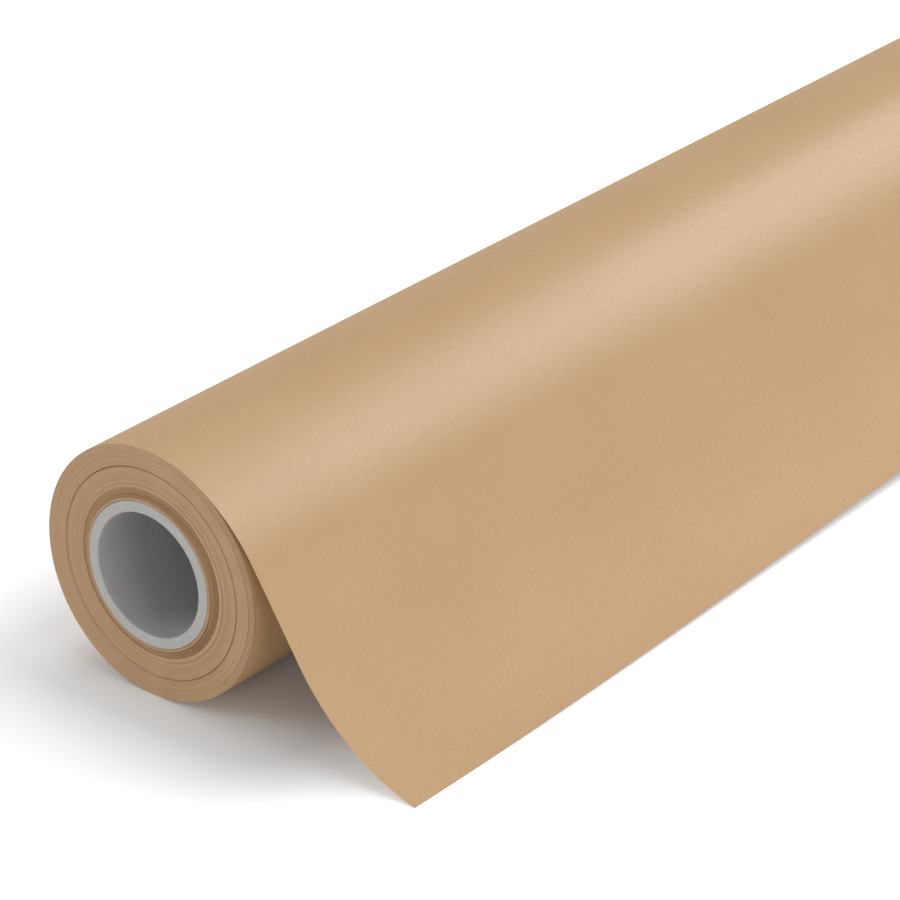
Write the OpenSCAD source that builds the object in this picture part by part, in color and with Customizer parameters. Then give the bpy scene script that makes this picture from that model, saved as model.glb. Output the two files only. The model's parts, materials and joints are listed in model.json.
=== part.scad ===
// A roll of kraft wrapping paper. The paper is wound on a spiral-wound board core,
// its last lap is slack, and its free end is drawn off to one side and lies on the bench.
// The axis of the roll is Y, the free end leaves on the +X side, +Z is up, and the
// origin is on the axis at mid-length. The bench is half a roll diameter below it.

/* [Roll] */
// Width of the paper, along the roll
paper_w = 610; // [300:5:1200]
// Diameter over the wound paper
roll_d = 104; // [84:1:160]

/* [Core] */
// Bore of the core
bore_d = 50.8; // [38:0.1:60]
// Wall of the core
core_wall = 4.5; // [3:0.1:6]
// Number of board plies in the wall
core_plies = 6; // [4:1:8]
// How far the core stands past the paper at each end
core_stub = 1.5; // [0:0.1:5]
// Adhesive line between two plies
glue_gap = 0.03; // [0.02:0.01:0.05]

/* [Start of the winding] */
// Radial space between the core and the first turn, where the tape lies
start_space = 0.2; // [0.18:0.01:0.3]
// Thickness of the tape that holds the paper to the core
tape_t = 0.12; // [0.06:0.01:0.12]
// Width of the tape, around the core
tape_w = 25; // [12:1:48]
// Distance from each end of the tape to the paper's edge
tape_inset = 20; // [5:1:40]

/* [Wound ends] */
// Turns near the core are set in by this much
tight_inset = 1.4; // [0:0.1:3]
// Depth of the groove that a shifted turn leaves
groove_depth = 1.2; // [0:0.1:3]
// The outer turns are set in by this much
outer_inset = 0.4; // [0:0.1:2]

/* [Slack last lap] */
// Thickness of one lap of paper
paper_t = 0.12; // [0.08:0.01:0.2]
// Angle above +X where the last lap leaves the pack
lap_start_a = 140; // [110:1:200]
// Angle above +X where the paper turns into the free end
lift_a = 33; // [15:1:50]
// Space under the lap where it leaves the pack
lap_clear = 0.3; // [0.3:0.05:0.6]
// Space under the lap where the free end begins
lap_slack = 3; // [1:0.1:4]

/* [Free end] */
// Radius of the sweep that brings the paper down to the bench
toe_r = 93; // [50:1:100]
// Slope of the paper where its edge meets the bench
toe_a = 14.5; // [5:0.5:25]
// How much shorter the free end is at the +Y side
edge_skew = 9; // [0:1:10]
// Number of strips that let the free end bend
strips = 9; // [6:1:9]
// Crease width between two strips
crease = 0.2; // [0.1:0.05:0.4]

/* [Hidden] */
$fn = 180;

kraft = [0.78, 0.64, 0.49];
kraft_edge = [0.68, 0.55, 0.42];
board = [0.64, 0.64, 0.63];
tape = [0.83, 0.76, 0.60];

// Core and winding
bore_r = bore_d / 2;
core_r = bore_r + core_wall;
core_l = paper_w + 2 * core_stub;
ply_pitch = (core_wall + glue_gap) / core_plies;
first_turn_r = core_r + start_space;
roll_r = roll_d / 2;
build_up = roll_r - first_turn_r;
tape_gap = (start_space - tape_t) / 2;
tape_span_a = tape_w / core_r * 180 / PI;
tape_flats = 24;

// Bands across the wound end: [share of the build-up where the band ends, how far it is set in]
end_bands = [
    [0.08, 0.5 * tight_inset],
    [0.22, tight_inset],
    [0.36, 0.4 * tight_inset],
    [0.585, 0.15 * tight_inset],
    [0.61, groove_depth],
    [0.82, 0],
    [1, outer_inset]
];

// The slack lap is an arc about a centre of its own, tangent to the pack where it leaves
lap_shift = (lap_slack - lap_clear) / (1 - cos(lap_start_a - lift_a));
lap_r = roll_r + lap_clear + lap_shift + paper_t / 2;
lap_c = -lap_shift * [cos(lap_start_a), sin(lap_start_a)];

// The free end runs straight at the slope of the lift-off point, then sweeps up to the toe
lift_p = lap_c + lap_r * [cos(lift_a), sin(lift_a)];
drop_a = 90 - lift_a;
drop_dir = [cos(drop_a), -sin(drop_a)];
sweep_drop = toe_r * (cos(toe_a) - cos(drop_a));
bench_z = -roll_r + paper_t / 2;
straight_l = (lift_p[1] - bench_z - sweep_drop) / sin(drop_a);
sweep_l = toe_r * (drop_a - toe_a) * PI / 180;
free_l = straight_l + sweep_l;
straight_end = lift_p + straight_l * drop_dir;
sweep_c = straight_end + toe_r * [sin(drop_a), cos(drop_a)];

// Slope below the horizontal, and the point in the XZ plane, at distance s along the free end
function slope(s) = drop_a - max(0, s - straight_l) / toe_r * 180 / PI;
function sheet_point(s) = s < straight_l
    ? lift_p + s * drop_dir
    : sweep_c - toe_r * [sin(slope(s)), cos(slope(s))];

// Turns a shape drawn along Z so that its axis is Y, with its XY angles in the XZ plane
module along_roll() {
    rotate([90, 0, 0]) children();
}

// Ring of rectangular section about Z, from angle a1 to a2
module ring(r, t, length, a1 = 0, a2 = 360) {
    rotate([0, 0, a1])
        rotate_extrude(angle = a2 - a1)
            translate([r, -length / 2]) square([t, length]);
}

module core_ply(k) {
    color(board)
        along_roll() ring(bore_r + (k - 1) * ply_pitch, ply_pitch - glue_gap, core_l);
}

// The tape follows the core in short flats, as thin as it is
function tape_arc(r) = [
    for (i = [0 : tape_flats])
        r * [cos((i / tape_flats - 0.5) * tape_span_a), sin((i / tape_flats - 0.5) * tape_span_a)]
];

module core_start_tape() {
    inner = tape_arc(core_r + tape_gap);
    outer = tape_arc(core_r + tape_gap + tape_t);
    outline = concat(inner, [for (i = [tape_flats : -1 : 0]) outer[i]]);
    color(tape)
        along_roll() linear_extrude(paper_w - 2 * tape_inset, center = true) polygon(outline);
}

// Corners of the wound section at one end, from the core outwards
function band_r(share) = first_turn_r + share * build_up;
function band_corners(side) = [
    for (i = [0 : len(end_bands) - 1])
        for (share = [i == 0 ? 0 : end_bands[i - 1][0], end_bands[i][0]])
            [band_r(share), side * (paper_w / 2 - end_bands[i][1])]
];

module wound_paper() {
    low = band_corners(-1);
    high = band_corners(1);
    outline = concat(low, [for (i = [len(high) - 1 : -1 : 0]) high[i]]);
    color(kraft_edge)
        along_roll() rotate_extrude() polygon(outline);
}

module outer_lap() {
    color(kraft)
        translate([lap_c[0], 0, lap_c[1]])
            along_roll() ring(lap_r - paper_t / 2, paper_t, paper_w, lift_a, lap_start_a);
}

// One flat strip of the free end; the last one carries the cut edge, shorter at +Y
module free_sheet(k) {
    p = sheet_point((k - 1) / strips * free_l);
    q = sheet_point(k / strips * free_l);
    run = norm(q - p);
    fall_a = atan2(p[1] - q[1], q[0] - p[0]);
    short = k == strips ? edge_skew : 0;
    first = k == 1 ? crease : crease / 2;
    last = k == strips ? 0 : crease / 2;
    outline = [
        [first, -paper_w / 2],
        [run - last, -paper_w / 2],
        [run - last - short, paper_w / 2],
        [first, paper_w / 2]
    ];
    color(kraft)
        translate([p[0], 0, p[1]]) rotate([0, fall_a, 0]) translate([0, 0, -paper_t / 2])
            linear_extrude(paper_t) polygon(outline);
}

for (k = [1 : core_plies])
    core_ply(k);
core_start_tape();
wound_paper();
outer_lap();
for (k = [1 : strips])
    free_sheet(k);
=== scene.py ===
import json
import math

import bpy
import numpy as np
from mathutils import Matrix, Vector


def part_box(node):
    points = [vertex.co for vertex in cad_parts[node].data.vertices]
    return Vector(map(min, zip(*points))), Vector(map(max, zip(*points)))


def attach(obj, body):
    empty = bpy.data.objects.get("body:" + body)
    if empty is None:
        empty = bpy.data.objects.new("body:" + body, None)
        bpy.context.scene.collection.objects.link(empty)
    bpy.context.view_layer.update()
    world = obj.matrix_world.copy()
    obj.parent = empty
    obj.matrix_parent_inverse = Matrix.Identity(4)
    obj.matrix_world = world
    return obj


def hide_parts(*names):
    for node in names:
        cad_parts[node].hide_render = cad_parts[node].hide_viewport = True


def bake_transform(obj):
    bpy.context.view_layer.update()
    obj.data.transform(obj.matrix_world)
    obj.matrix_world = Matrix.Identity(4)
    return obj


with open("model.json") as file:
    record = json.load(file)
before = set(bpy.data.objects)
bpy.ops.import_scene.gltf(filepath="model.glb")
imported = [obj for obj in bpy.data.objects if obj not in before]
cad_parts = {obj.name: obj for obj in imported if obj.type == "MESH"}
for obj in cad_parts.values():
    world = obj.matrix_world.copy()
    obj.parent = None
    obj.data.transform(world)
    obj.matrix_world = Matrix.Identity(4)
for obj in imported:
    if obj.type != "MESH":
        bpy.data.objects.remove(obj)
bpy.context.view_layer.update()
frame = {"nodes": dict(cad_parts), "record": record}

# ---------------------------------------------------------------- sizes, in metres

MM = 0.001
record = frame["record"]
mounts = {m["name"]: m for m in record["mounts"]}
hinges = [j["pos_m"] for j in record["behaviour"]["joints"] if j["name"].startswith("sheet_curl")]
STRIPS = len(hinges)
PLIES = 6

_, pack_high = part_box("wound_paper")
_, core_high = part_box(f"core_ply_{PLIES}")
BORE_R = mounts["core_bore"]["dims"]["r_mm"] * MM
CORE_R = core_high.z
CORE_HALF = core_high.y
ROLL_R = round(pack_high.z, 4)
PAPER_HALF = pack_high.y
BENCH_Z = -ROLL_R

# The paper's path across the roll. As in the CAD: the angle where it leaves the roll's circle, its
# distance from the pack there, and the arc of its toe with the slope at which it ends.
PAPER_T = 0.12 * MM
LIFT = math.radians(33)
LAP_SLACK = 3 * MM
TOE_R = 93 * MM
TOE_SLOPE = math.radians(14.5)
TOE_GAP = 0.02 * MM
# The last lap is drawn on behind the roll until it is tucked beneath, and leaves the pack from OPEN on.
TUCK = math.radians(262)
OPEN = math.radians(64)
LAP_GAP = 0.03 * MM
# The cut edge is a little askew: the free end is shorter away from the near end, by EDGE_BOW from
# EDGE_BOW_SPAN of the roll's length on.
EDGE_BOW = 13 * MM
EDGE_BOW_SPAN = 0.75

# Places on the pack's ends, as shares of the roll's radius. The first turns are flush with the core,
# the next are pushed in, and one shifted turn further out leaves a groove.
CORE_LINE = 0.604
FLUSH_END = 0.612
PUSHED_IN = 0.634
PUSHED_IN_LINE = 0.636
PUSHED_IN_END = 0.660
# the rim where the pushed-in turns end, which gets a painted highlight
PAINTED_HIGHLIGHT_LINE = 0.676
FINE_LINES = (0.700, 0.752)
STEP = 0.822
GROOVE = 0.831

# ---------------------------------------------------------------- small helpers


def smoothstep(x):
    x = np.clip(x, 0.0, 1.0)
    return x * x * (3 - 2 * x)


def link(obj):
    bpy.context.scene.collection.objects.link(obj)
    return obj


def mesh_object(name, verts, faces, normals=None, web=None, flat_from=None):
    """An object from arrays. normals has one row for each face corner, and web, the place on the paper,
    one for each vertex. Faces from number flat_from on are shaded flat."""
    mesh = bpy.data.meshes.new(name)
    mesh.from_pydata([tuple(v) for v in verts], [], [tuple(f) for f in faces])
    smooth = np.ones(len(mesh.polygons), bool)
    if flat_from is not None:
        smooth[flat_from:] = False
    mesh.polygons.foreach_set("use_smooth", smooth)
    if web is not None:
        layer = mesh.attributes.new("web", "FLOAT_VECTOR", "POINT")
        layer.data.foreach_set("vector", np.asarray(web, np.float32).ravel())
    mesh.update()
    if normals is not None:
        mesh.normals_split_custom_set([tuple(n) for n in normals])
    return link(bpy.data.objects.new(name, mesh))


def noise_rows(rng, rows, steps, smooth_rows, harmonics):
    """Random heights of about 1 for rings round a circle: a row for each ring, smooth from ring to ring."""
    angle = np.linspace(0, 2 * np.pi, steps, endpoint=False)
    kernel = np.hanning(smooth_rows + 2)[1:-1]
    kernel = kernel / np.sqrt((kernel**2).sum())
    total = np.zeros((rows, steps))
    for h in range(harmonics + 1):
        for wave in (np.cos, np.sin):
            size = rng.normal(size=rows + smooth_rows)
            size = np.convolve(size, kernel, mode="same")[:rows]
            total += np.outer(size, wave(h * angle)) / (1 + h)
    spread = 1.8
    return total / spread


# ---------------------------------------------------------------- materials


class Nodes:
    """Adds shader nodes to a new material, one call for each."""

    def __init__(self, name):
        self.material = bpy.data.materials.new(name)
        self.material.use_nodes = True
        self.tree = self.material.node_tree
        self.tree.nodes.clear()
        self.out = self.tree.nodes.new("ShaderNodeOutputMaterial")

    def add(self, kind, out=0, settings=None, **inputs):
        """Adds a node and returns its output number out, or all of them for None. An input is named
        as in Blender, with _ for a space, or by its number, such as i0."""
        node = self.tree.nodes.new("ShaderNode" + kind)
        for key, value in (settings or {}).items():
            setattr(node, key, value)
        for key, value in inputs.items():
            by_number = key[0] == "i" and key[1:].isdigit()
            socket = node.inputs[int(key[1:]) if by_number else key.replace("_", " ")]
            if isinstance(value, bpy.types.NodeSocket):
                self.tree.links.new(value, socket)
            else:
                socket.default_value = value
        return node.outputs if out is None else node.outputs[out]

    def math(self, operation, a, b=0.0):
        return self.add("Math", settings={"operation": operation}, i0=a, i1=b)

    def length(self, a, b):
        """The length of the vector with the parts a and b."""
        squares = self.math("ADD", self.math("MULTIPLY", a, a), self.math("MULTIPLY", b, b))
        return self.math("SQRT", squares)

    def noise(self, vector, scale, detail=3.0, roughness=0.55):
        return self.add("TexNoise", Vector=vector, Scale=scale, Detail=detail, Roughness=roughness)

    def ring_noise(self, radius, scale, detail):
        """Noise that depends on the radius alone, so it draws rings."""
        place = self.math("MULTIPLY", radius, scale)
        return self.add("TexNoise", settings={"noise_dimensions": "1D"}, W=place, Scale=1.0, Detail=detail)

    def object_place(self):
        return self.add("TexCoord", out=3)

    def web_place(self):
        return self.add("Attribute", out=1, settings={"attribute_name": "web"})

    def parts(self, vector):
        return self.add("SeparateXYZ", i0=vector, out=None)

    def scaled(self, vector, size):
        return self.add("Mapping", Vector=vector, Scale=size)

    def levels(self, value, low, high, to_low=0.0, to_high=1.0):
        return self.add("MapRange", i0=value, i1=low, i2=high, i3=to_low, i4=to_high)

    def mix(self, factor, a, b):
        return self.add("Mix", out=2, settings={"data_type": "RGBA"}, i0=factor, i6=a, i7=b)

    def bump(self, height, distance, strength, normal=None):
        extra = {} if normal is None else {"Normal": normal}
        return self.add("Bump", Height=height, Distance=distance, Strength=strength, **extra)

    def finish(self, **inputs):
        shader = self.add("BsdfPrincipled", **inputs)
        self.tree.links.new(shader, self.out.inputs["Surface"])
        return self.material


def srgb(r, g, b):
    """Linear colour from the 0 to 255 values that a screen shows."""
    return tuple(
        (c / 12.92 if c <= 0.04045 else ((c + 0.055) / 1.055) ** 2.4)
        for c in (r / 255, g / 255, b / 255)
    ) + (1.0,)


def kraft_material(name, on_web, roughness, specular):
    """Kraft paper: cloudy formation, fibres along the web, sparse dark flecks and a calendered sheen.
    on_web is True for a piece whose mesh holds its places on the paper."""
    base, light, dark = srgb(198, 159, 113), srgb(202, 164, 119), srgb(187, 147, 101)
    n = Nodes(name)
    at = n.web_place() if on_web else n.object_place()
    cloud = n.noise(at, 14.0, 2.0)
    formation = n.noise(at, 420.0, 4.0, 0.6)
    fibre = n.noise(n.scaled(at, (700.0, 5200.0, 5200.0)), 1.0, 2.0, 0.7)
    streak = n.noise(n.scaled(at, (6.0, 260.0, 260.0)), 1.0, 2.0, 0.5)
    fleck = n.noise(n.scaled(at, (900.0, 1500.0, 1500.0)), 1.0, 1.0, 0.4)
    colour = n.mix(n.levels(cloud, 0.3, 0.7), base, light)
    colour = n.mix(n.levels(formation, 0.35, 0.75, 0.0, 0.42), colour, dark)
    colour = n.mix(n.levels(streak, 0.4, 0.7, 0.0, 0.18), colour, light)
    colour = n.mix(n.levels(fibre, 0.52, 0.78, 0.0, 0.35), colour, dark)
    colour = n.mix(n.levels(fleck, 0.74, 0.8, 0.0, 0.5), colour, srgb(128, 92, 60))
    rough = n.levels(formation, 0.3, 0.7, roughness - 0.04, roughness + 0.05)
    if on_web:
        # the free end has been handled, and has lost the even glaze of the tight roll
        along = n.parts(at)[0]
        rough = n.math("ADD", rough, n.levels(along, 0.012, 0.065, 0.0, 0.24))
    # the loose fibres on the surface scatter what would shine at a grazing angle
    grazing = n.add("LayerWeight", out=1, Blend=0.5)
    rough = n.math("ADD", rough, n.levels(grazing, 0.55, 1.0, 0.0, 0.4))
    normal = n.bump(fibre, 0.03 * MM, 0.35)
    normal = n.bump(formation, 0.10 * MM, 0.25, normal)
    return n.finish(Base_Color=colour, Roughness=rough, Normal=normal, Specular_IOR_Level=specular)


def end_material():
    """The ends of the wound pack: fine edge lines of the turns, with painted shade in the grooves and steps
    of the ends and a painted highlight on one step's rim.
    """
    n = Nodes("wound_kraft")
    at = n.object_place()
    x, _, z = n.parts(at)
    radius = n.length(x, z)
    sway = n.noise(at, 22.0, 2.0)
    turn = n.math("ADD", radius, n.math("MULTIPLY", sway, 0.5 * MM))
    fine = n.ring_noise(turn, 5200.0, 2.0)
    medium = n.ring_noise(turn, 900.0, 3.0)
    broad = n.ring_noise(turn, 230.0, 2.0)
    mottle = n.noise(at, 90.0, 3.0)
    colour = n.mix(n.levels(broad, 0.35, 0.65), srgb(182, 149, 113), srgb(190, 157, 122))
    colour = n.mix(n.levels(medium, 0.42, 0.66, 0.0, 0.40), colour, srgb(164, 130, 95))
    colour = n.mix(n.levels(fine, 0.5, 0.75, 0.0, 0.35), colour, srgb(152, 119, 85))
    colour = n.mix(n.levels(mottle, 0.4, 0.75, 0.0, 0.35), colour, srgb(196, 164, 129))
    # the turns that were pushed in are darkened all round with painted shade, as if they lay in the shadow
    # of their recess; the dark lines are painted shade in the grooves and steps where turns have shifted,
    # and the pale line is a painted highlight on the rim where the pushed-in turns end. These painted
    # lines are plain on the +X side, where the walls of the steps face the camera and the lamps, and fade
    # away from it
    side = n.math("COSINE", n.math("SUBTRACT", n.math("ARCTAN2", z, x), math.radians(15)))
    fade = n.levels(side, -0.7, 0.8, 0.3, 1.0)
    share = n.math("DIVIDE", radius, ROLL_R)
    for place, width, soft, strength, painted_colour in (
        (PUSHED_IN, 0.025, 0.006, 0.42, srgb(146, 110, 74)),
        (PAINTED_HIGHLIGHT_LINE, 0.005, 0.006, 0.40, srgb(208, 177, 141)),
        (CORE_LINE, 0.0016, 0.003, 0.75, srgb(118, 84, 52)),
        (GROOVE, 0.0022, 0.0030, 0.75, srgb(112, 80, 50)),
        (FINE_LINES[1], 0.0008, 0.003, 0.30, srgb(130, 96, 64)),
        (FINE_LINES[0], 0.0008, 0.004, 0.25, srgb(130, 96, 64)),
    ):
        away = n.math("ABSOLUTE", n.math("SUBTRACT", share, place))
        # the painted shade of each dark line and band, and the painted highlight of the pale line
        painted_band = n.levels(away, width + soft, width, 0.0, strength)
        if place != PUSHED_IN:
            painted_band = n.math("MULTIPLY", painted_band, fade)
        colour = n.mix(painted_band, colour, painted_colour)
    normal = n.bump(fine, 0.05 * MM, 0.35)
    normal = n.bump(medium, 0.12 * MM, 0.25, normal)
    return n.finish(Base_Color=colour, Roughness=0.75, Specular_IOR_Level=0.25, Normal=normal)


def board_material(name, base, light, dark, butt):
    """Grey board of recycled fibre, mottled, with dark and pale flecks. With butt, the helical joint
    of the ply's edges shows."""
    n = Nodes(name)
    at = n.object_place()
    pulp = n.noise(at, 700.0, 5.0, 0.65)
    mottle = n.noise(at, 60.0, 3.0)
    hair = n.noise(n.scaled(at, (2600.0, 500.0, 2600.0)), 1.0, 3.0, 0.6)
    colour = n.mix(n.levels(mottle, 0.3, 0.7), base, light)
    colour = n.mix(n.levels(pulp, 0.45, 0.8, 0.0, 0.5), colour, dark)
    colour = n.mix(n.levels(hair, 0.6, 0.75, 0.0, 0.35), colour, srgb(196, 194, 188))
    normal = n.bump(pulp, 0.08 * MM, 0.4)
    if butt:
        pitch = 110 * MM
        x, y, z = n.parts(at)
        angle = n.math("DIVIDE", n.math("ARCTAN2", z, x), 2 * math.pi)
        wrap = n.math("FRACT", n.math("ADD", angle, n.math("DIVIDE", y, pitch)))
        groove = n.levels(n.math("ABSOLUTE", n.math("SUBTRACT", wrap, 0.5)), 0.0, 0.0035)
        colour = n.mix(groove, srgb(120, 119, 115), colour)
        normal = n.bump(groove, 0.25 * MM, 0.6, normal)
    return n.finish(Base_Color=colour, Roughness=0.82, Specular_IOR_Level=0.25, Normal=normal)


def tape_material():
    n = Nodes("gummed_tape")
    fibre = n.noise(n.scaled(n.object_place(), (1800.0, 300.0, 1800.0)), 1.0, 3.0)
    colour = n.mix(n.levels(fibre, 0.35, 0.7), srgb(214, 196, 158), srgb(196, 176, 136))
    return n.finish(Base_Color=colour, Roughness=0.6, Normal=n.bump(fibre, 0.03 * MM, 0.3))


WEB = kraft_material("kraft_paper", True, 0.42, 0.95)
PACK_SKIN = kraft_material("pack_skin", False, 0.45, 0.9)
PACK_END = end_material()
BOARD = board_material(
    "core_board", srgb(183, 182, 179), srgb(190, 188, 185), srgb(163, 161, 158), False
)
LINER = board_material(
    "core_liner", srgb(174, 174, 173), srgb(181, 180, 179), srgb(153, 151, 149), True
)
TAPE = tape_material()

# ---------------------------------------------------------------- the paper's path


def path_points():
    """Dense points of the paper's middle in the XZ plane, from the tuck beneath the roll to the toe, and
    their distances along it from where the free end begins. The paper lies close on the roll, then leaves
    it on a wider arc that meets the straight run at the slope of the CAD."""
    near_r = ROLL_R + LAP_GAP + PAPER_T / 2
    line_off = ROLL_R + LAP_SLACK + PAPER_T / 2
    shift = (line_off - near_r) / (1 - math.cos(OPEN - LIFT))
    around = np.linspace(TUCK, OPEN, 300)
    close = near_r * np.stack([np.cos(around), np.sin(around)], 1)
    over = np.linspace(OPEN, LIFT, 160)
    centre = -shift * np.array([math.cos(OPEN), math.sin(OPEN)])
    lap = centre + (near_r + shift) * np.stack([np.cos(over), np.sin(over)], 1)
    lift = lap[-1]
    drop = math.pi / 2 - LIFT
    toe_z = BENCH_Z + PAPER_T / 2 + TOE_GAP
    sweep_drop = TOE_R * (math.cos(TOE_SLOPE) - math.cos(drop))
    straight = (lift[1] - toe_z - sweep_drop) / math.sin(drop)
    run = np.linspace(0, straight, 120)[:, None]
    down = lift + run * np.array([math.cos(drop), -math.sin(drop)])
    slope = np.linspace(drop, TOE_SLOPE, 200)
    sweep_centre = down[-1] + TOE_R * np.array([math.sin(drop), math.cos(drop)])
    toe = sweep_centre - TOE_R * np.stack([np.sin(slope), np.cos(slope)], 1)
    points = np.vstack([close, lap[1:], down[1:], toe[1:]])
    step = np.hypot(*np.diff(points, axis=0).T)
    along = np.concatenate([[0.0], np.cumsum(step)])
    first_hinge = np.array([hinges[0][0], hinges[0][2]])
    return points, along - along[np.argmin(np.hypot(*(points - first_hinge).T))]


PATH, ALONG = path_points()
FREE_L = ALONG[-1]
STRIP_L = FREE_L / STRIPS


def web_frame(s):
    """The paper's middle points and its unit tangents at distances s, in the XZ plane."""
    x = np.interp(s, ALONG, PATH[:, 0])
    z = np.interp(s, ALONG, PATH[:, 1])
    reach = 1.5 * MM
    lo, hi = np.maximum(s - reach, ALONG[0]), np.minimum(s + reach, ALONG[-1])
    tx = np.interp(hi, ALONG, PATH[:, 0]) - np.interp(lo, ALONG, PATH[:, 0])
    tz = np.interp(hi, ALONG, PATH[:, 1]) - np.interp(lo, ALONG, PATH[:, 1])
    size = np.hypot(tx, tz)
    return x, z, tx / size, tz / size


def sheet_wave(s, y):
    """How far the free end stands off its plain path: long shallow waves that grow towards the cut
    edge and flatten again where the paper rests on the bench."""
    share = s / FREE_L
    grow = smoothstep((share - 0.15) / 0.85)
    rest = 1 - 0.75 * smoothstep((share - 0.8) / 0.2)
    long_wave = 0.20 * MM * np.sin(2 * np.pi * y / 0.23 + 0.6)
    short_wave = 0.09 * MM * np.sin(2 * np.pi * y / 0.117 + 2.1)
    return grow * (long_wave + short_wave) * rest


def cut_edge(y):
    """Where the paper ends, at place y along the roll."""
    from_near_end = (y + PAPER_HALF) / (2 * PAPER_HALF)
    return FREE_L - EDGE_BOW * smoothstep(from_near_end / EDGE_BOW_SPAN)


def paper_piece(name, start, end, rows, to_cut=False):
    """A stretch of the paper between two distances along the path, as a thin closed mesh with this many
    rows of points along it. With to_cut it ends at the cut edge."""
    across = 122
    y = np.linspace(-PAPER_HALF, PAPER_HALF, across)
    share = np.linspace(0, 1, rows)[:, None]
    last = cut_edge(y)[None, :] if to_cut else np.full((1, across), end)
    s = start + (last - start) * share
    yy = np.broadcast_to(y, s.shape)
    x, z, tx, tz = web_frame(s)
    nx, nz = -tz, tx
    off = sheet_wave(s, yy)
    middle = np.stack([x + nx * off, yy, z + nz * off], -1)
    normal = np.stack([nx, np.zeros_like(nx), nz], -1)
    # the tucked edge thins away
    thick = PAPER_T * np.clip((s - ALONG[0]) / (4 * MM), 0.15, 1.0)
    half = 0.5 * thick[..., None] * normal
    # the slope of the waves across the sheet turns the normals
    eps = 0.5 * MM
    dy = (sheet_wave(s, yy + eps) - sheet_wave(s, yy - eps)) / (2 * eps)
    shade = normal - dy[..., None] * np.array([0.0, 1.0, 0.0])
    shade = shade / np.linalg.norm(shade, axis=-1, keepdims=True)
    upper = shade.reshape(-1, 3)
    vertex_normals = np.concatenate([upper, -upper])
    verts = np.concatenate([(middle + half).reshape(-1, 3), (middle - half).reshape(-1, 3)])
    web = np.stack([s, yy, np.zeros_like(s)], -1).reshape(-1, 3)
    grid = np.arange(rows * across).reshape(rows, across)
    under = grid + rows * across
    faces, normals = [], []

    def skin(a, b, c, d):
        block = np.stack([d, c, b, a], -1).reshape(-1, 4)
        faces.append(block)
        normals.append(vertex_normals[block.ravel()])

    def wall(a, b):
        """A strip of wall from the upper edge a to the lower edge b."""
        block = np.stack([a[1:], b[1:], b[:-1], a[:-1]], -1)
        p = verts[block]
        n = np.cross(p[:, 1] - p[:, 0], p[:, 3] - p[:, 0])
        n = n / np.maximum(np.linalg.norm(n, axis=1, keepdims=True), 1e-20)
        faces.append(block)
        normals.append(np.repeat(n, 4, axis=0))

    skin(grid[:-1, :-1], grid[:-1, 1:], grid[1:, 1:], grid[1:, :-1])
    skin(under[:-1, :-1], under[1:, :-1], under[1:, 1:], under[:-1, 1:])
    skins = sum(len(f) for f in faces)
    wall(grid[0, ::-1], under[0, ::-1])
    wall(grid[-1], under[-1])
    wall(grid[:, 0], under[:, 0])
    wall(grid[::-1, -1], under[::-1, -1])
    obj = mesh_object(
        name,
        verts,
        np.concatenate(faces),
        normals=np.concatenate(normals),
        web=np.concatenate([web, web]),
        flat_from=skins,
    )
    obj.data.materials.append(WEB)
    return obj


def make_paper():
    """The last lap and the free end. Each piece runs from the middle of one strip to the middle of the
    next, so that the hinge between them lies inside it."""
    back = ALONG[np.argmin(np.hypot(PATH[:, 0] + ROLL_R, PATH[:, 1]))]
    behind = paper_piece("lap_behind", ALONG[0], back, 70)
    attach(behind, "web")
    first = back
    for k in range(STRIPS):
        final = k == STRIPS - 1
        last = FREE_L if final else (k + 0.5) * STRIP_L
        name, rows = ("slack_lap", 110) if k == 0 else (f"free_end_{k}", 12)
        piece = paper_piece(name, first, last, rows, to_cut=final)
        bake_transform(piece)
        nodes = ["outer_lap", "free_sheet_1"] if k == 0 else [f"free_sheet_{k + 1}"]
        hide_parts(*nodes)
        first = last


# ---------------------------------------------------------------- the wound pack


def end_profile(radius, angle):
    """How far the wound end is set in, for each radius (rows) and angle (columns). The depths are in mm
    until the end, and the turns have shifted most on the +X side."""
    q = (radius / ROLL_R)[:, None]
    side = (0.5 + 0.5 * np.cos(angle - math.radians(15)))[None, :]
    over = (0.5 + 0.5 * np.cos(angle - math.radians(50)))[None, :]

    def line(place, width, power=2):
        return np.exp(-(np.abs(q - place) / width) ** power)

    def past(place, width):
        """Rises from 0 at the place to 1 a width outside it."""
        return smoothstep((q - place) / width)

    def deeper(depth, opposite):
        """A depth on the +X side, and opposite times as much on the other side."""
        return depth * (opposite + (1 - opposite) * side)

    pushed_end = PUSHED_IN_END + 0.008 * np.sin(angle)[None, :]
    inset = -1.15 * (1 - past(FLUSH_END, 0.010))
    inset = inset + deeper(1.0, 0.55) * (past(FLUSH_END, 0.010) - past(pushed_end, 0.007))
    inset = inset + 0.22 * past(pushed_end, 0.010) * (1 - past(STEP, 0.008))
    inset = inset + deeper(0.7, 0.25) * line(CORE_LINE, 0.0036)
    fine_lines = line(PUSHED_IN_LINE, 0.004) + line(FINE_LINES[0], 0.004) + line(FINE_LINES[1], 0.0045)
    inset = inset + deeper(0.3, 0.3) * fine_lines
    groove = 0.25 + 0.75 * smoothstep(1.25 * over - 0.1)
    inset = inset + 0.9 * groove * line(GROOVE, 0.0018 + 0.0016 * over, 4)
    # the last turns are loose on the +X side
    loose = side**4 * smoothstep((1.0 - q) / 0.012)
    loose_lines = line(0.938 + 0.01 * side, 0.003) + line(0.965, 0.003) + line(0.985, 0.003)
    return (inset + 0.5 * loose * loose_lines) * MM


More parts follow.
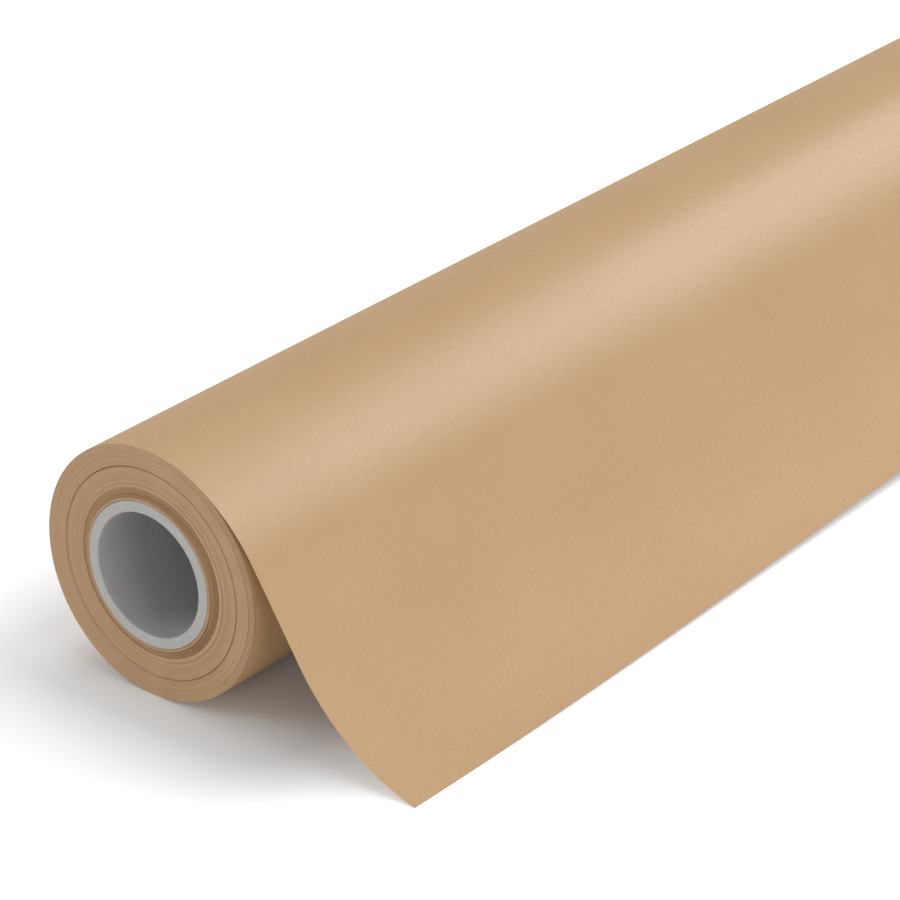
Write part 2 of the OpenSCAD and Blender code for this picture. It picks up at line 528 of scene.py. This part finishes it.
def make_pack():
    rng = np.random.default_rng(11)
    steps, rings, long_steps = 240, 200, 10
    first_r = CORE_R + 0.2 * MM
    outer_r = ROLL_R - 0.02 * MM
    angle = np.linspace(0, 2 * np.pi, steps, endpoint=False)
    radii = np.linspace(first_r, outer_r, rings)
    # the random heights fade out towards the pack's rim
    fade = smoothstep((ROLL_R - radii) / (1.0 * MM))[:, None]

    def ring(r, y):
        """Points round the axis at radius r and place y, each a number or an array of rows."""
        shape = np.broadcast_shapes(np.shape(r), np.shape(y), angle.shape)
        parts = (r * np.cos(angle), y, r * np.sin(angle))
        return np.stack([np.broadcast_to(p, shape) for p in parts], -1)

    ends = []
    for side in (-1, 1):
        fine = noise_rows(rng, rings, steps, 1, 4) * 0.03 * MM
        medium = noise_rows(rng, rings, steps, 9, 3) * 0.05 * MM
        depth = end_profile(radii, angle) + fade * (fine + medium) + 0.05 * MM
        ends.append(ring(radii[:, None], side * (PAPER_HALF - depth)))
    near, far = ends
    outside_half = PAPER_HALF - 1.2 * MM
    outside = ring(outer_r, np.linspace(-outside_half, outside_half, long_steps)[:, None])
    # rows from the near end's first turn outwards, along the outside, and inwards over the far end
    rows = np.concatenate([near, outside, far[::-1]])
    index = np.arange(len(rows) * steps).reshape(len(rows), steps)
    nxt = np.roll(index, -1, axis=1)
    quads = np.stack([index[:-1], index[1:], nxt[1:], nxt[:-1]], -1).reshape(-1, 4)
    inner = np.stack([index[-1], index[0], nxt[0], nxt[-1]], -1)
    obj = mesh_object("wound_pack", rows.reshape(-1, 3), np.concatenate([quads, inner]))
    obj.data.materials.append(PACK_END)
    obj.data.materials.append(PACK_SKIN)
    slots = np.zeros(len(obj.data.polygons), np.int32)
    slots[rings * steps : (rings + long_steps - 1) * steps] = 1
    obj.data.polygons.foreach_set("material_index", slots)
    obj.data.set_sharp_from_angle(angle=math.radians(50))
    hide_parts("wound_paper")
    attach(obj, "pack")


# ---------------------------------------------------------------- the core


def tube(name, r_in, r_out, round_in, round_out, rng):
    """A board tube with rounded rims and slightly uneven cut ends."""
    steps, long_steps = 240, 10
    recess = 0.12 * MM
    uneven = 0.05 * MM
    wall_half = CORE_HALF - 3 * MM
    # profile of one end, from the inner wall to the outer wall: (radius, distance from the end)
    corner = np.linspace(0, np.pi / 2, 7)
    flat = np.linspace(r_in + round_in, r_out - round_out, 4)[1:-1]
    profile = [(r_in + round_in * (1 - math.cos(a)), round_in * (1 - math.sin(a))) for a in corner]
    profile += [(r, 0.0) for r in flat]
    profile += [(r_out - round_out * (1 - math.sin(a)), round_out * (1 - math.cos(a))) for a in corner]
    angle = np.linspace(0, 2 * np.pi, steps, endpoint=False)

    def row(r, y):
        return np.stack([r * np.cos(angle), np.broadcast_to(y, angle.shape), r * np.sin(angle)], -1)

    wobble_near, wobble_far = [noise_rows(rng, 1, steps, 1, 9)[0] * uneven for _ in range(2)]
    walls = np.linspace(-wall_half, wall_half, long_steps)
    rows = [row(r, -(CORE_HALF - recess) + d + wobble_near) for r, d in profile]
    rows += [row(r_out, y) for y in walls]
    rows += [row(r, CORE_HALF - recess - d - wobble_far) for r, d in profile[::-1]]
    rows += [row(r_in, y) for y in walls[::-1]]
    rows = np.array(rows)
    index = np.arange(len(rows) * steps).reshape(len(rows), steps)
    below = np.roll(index, -1, axis=0)
    quads = np.stack([index, below, np.roll(below, -1, axis=1), np.roll(index, -1, axis=1)], -1)
    obj = mesh_object(name, rows.reshape(-1, 3), quads.reshape(-1, 4))
    obj.data.set_sharp_from_angle(angle=math.radians(40))
    return obj


def line_wall(obj, r_most):
    """Gives the faces inside radius r_most the darker liner."""
    obj.data.materials.append(LINER)
    for face in obj.data.polygons:
        if math.hypot(face.center.x, face.center.z) < r_most:
            face.material_index = 1


def make_core():
    rng = np.random.default_rng(5)
    glue, board_gap, small_round = 0.03 * MM, 0.01 * MM, 0.02 * MM
    pitch = (CORE_R - BORE_R + glue) / PLIES
    for k in range(1, PLIES + 1):
        r_in = BORE_R + (k - 1) * pitch
        r_out = r_in + pitch - board_gap
        round_in = 0.65 * MM if k == 1 else small_round
        round_out = 0.25 * MM if k == PLIES else small_round
        obj = tube(f"board_ply_{k}", r_in, r_out, round_in, round_out, rng)
        obj.data.materials.append(BOARD)
        if k == 1:
            line_wall(obj, r_in + 0.3 * MM)
        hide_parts(f"core_ply_{k}")
        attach(obj, "pack")


def finish_tape():
    for slot in frame["nodes"]["core_start_tape"].material_slots:
        slot.material = TAPE


make_core()
make_pack()
make_paper()
finish_tape()

# ---------------------------------------------------------------- floor, light and camera


def make_bench():
    """A white floor. What the camera sees of it also glows, more and more away from the roll, so that
    only the roll's shadow shows on it; the roll itself gets the light of the plain floor."""
    half = 8.0
    z = BENCH_Z - 0.05 * MM
    corners = [(-half, -half, z), (half, -half, z), (half, half, z), (-half, half, z)]
    bench = mesh_object("bench", corners, [(0, 1, 2, 3)])
    n = Nodes("bench_white")
    ray = n.add("LightPath", out=None)
    seen = n.math("MAXIMUM", ray["Is Camera Ray"], ray["Is Glossy Ray"])
    plain = n.add("BsdfDiffuse", Color=(0.80, 0.80, 0.80, 1))
    bright = n.add("BsdfDiffuse", Color=(0.93, 0.95, 0.97, 1))
    # distance from the roll's outline on the floor
    x, y, _ = n.parts(n.object_place())
    beside = n.math("MAXIMUM", n.math("SUBTRACT", n.math("ABSOLUTE", x), ROLL_R), 0.0)
    beyond = n.math("MAXIMUM", n.math("SUBTRACT", n.math("ABSOLUTE", y), PAPER_HALF), 0.0)
    away = n.length(beside, beyond)
    near = n.levels(away, 0.017, 0.065, 0.0, 0.28)
    far = n.levels(away, 0.12, 1.2, 0.0, 0.7)
    glow = n.add("Emission", Color=(1, 1, 1, 1), Strength=n.math("ADD", near, far))
    shown = n.add("AddShader", i0=bright, i1=glow)
    mixed = n.add("MixShader", i0=seen, i1=plain, i2=shown)
    n.tree.links.new(mixed, n.out.inputs["Surface"])
    bench.data.materials.append(n.material)


def make_world():
    """Soft light from all round, and plain white where the camera sees past the floor."""
    world = bpy.data.worlds.new("studio")
    bpy.context.scene.world = world
    world.use_nodes = True
    tree = world.node_tree
    tree.nodes.clear()
    out = tree.nodes.new("ShaderNodeOutputWorld")
    ray = tree.nodes.new("ShaderNodeLightPath")
    mix = tree.nodes.new("ShaderNodeMixShader")
    tree.links.new(ray.outputs["Is Camera Ray"], mix.inputs[0])
    for socket, strength in ((1, 0.4), (2, 1.0)):
        background = tree.nodes.new("ShaderNodeBackground")
        background.inputs["Color"].default_value = (1, 1, 1, 1)
        background.inputs["Strength"].default_value = strength
        tree.links.new(background.outputs[0], mix.inputs[socket])
    tree.links.new(mix.outputs[0], out.inputs["Surface"])


def area_light(name, place, target, size, power):
    data = bpy.data.lights.new(name, "AREA")
    data.shape = "RECTANGLE"
    data.size, data.size_y = size
    data.energy = power
    lamp = link(bpy.data.objects.new(name, data))
    lamp.location = place
    aim = Vector(target) - Vector(place)
    lamp.rotation_mode = "QUATERNION"
    lamp.rotation_quaternion = aim.to_track_quat("-Z", "Y")


def make_lights():
    """A wide key from beyond the roll, which gives its long highlight, and four soft fills."""
    area_light("key", (0.62, 1.60, 1.45), (0.0, 0.0, 0.0), (1.6, 0.9), 15.6)
    area_light("top", (-0.45, 0.2, 2.3), (0.0, 0.0, 0.0), (1.2, 1.2), 13.4)
    area_light("front", (1.2, -2.2, 0.8), (0.0, -0.2, 0.0), (1.1, 0.9), 9.1)
    area_light("left", (-1.6, -1.7, 0.9), (0.0, -0.3, 0.0), (1.4, 1.2), 12.9)
    area_light("right", (2.4, -0.7, 0.8), (0.0, -0.2, 0.0), (1.4, 1.2), 12.8)


def make_camera():
    """A long lens from the front right, above the near end. Its place is in radii of the roll from the
    near end's middle."""
    azimuth, pitch = math.radians(39.33), math.radians(26.97)
    place = Vector((18.854, -19.608, 14.801)) * ROLL_R + Vector((0, -PAPER_HALF, 0))
    level = math.cos(pitch)
    ahead = Vector((-math.sin(azimuth) * level, math.cos(azimuth) * level, -math.sin(pitch)))
    data = bpy.data.cameras.new("camera")
    data.sensor_width = 36
    data.lens = 171.9
    data.clip_start, data.clip_end = 0.05, 60
    camera = link(bpy.data.objects.new("camera", data))
    camera.location = place
    camera.rotation_mode = "QUATERNION"
    camera.rotation_quaternion = ahead.to_track_quat("-Z", "Y")
    bpy.context.scene.camera = camera


make_bench()
make_world()
make_lights()
make_camera()
bpy.context.scene.view_settings.view_transform = "Standard"
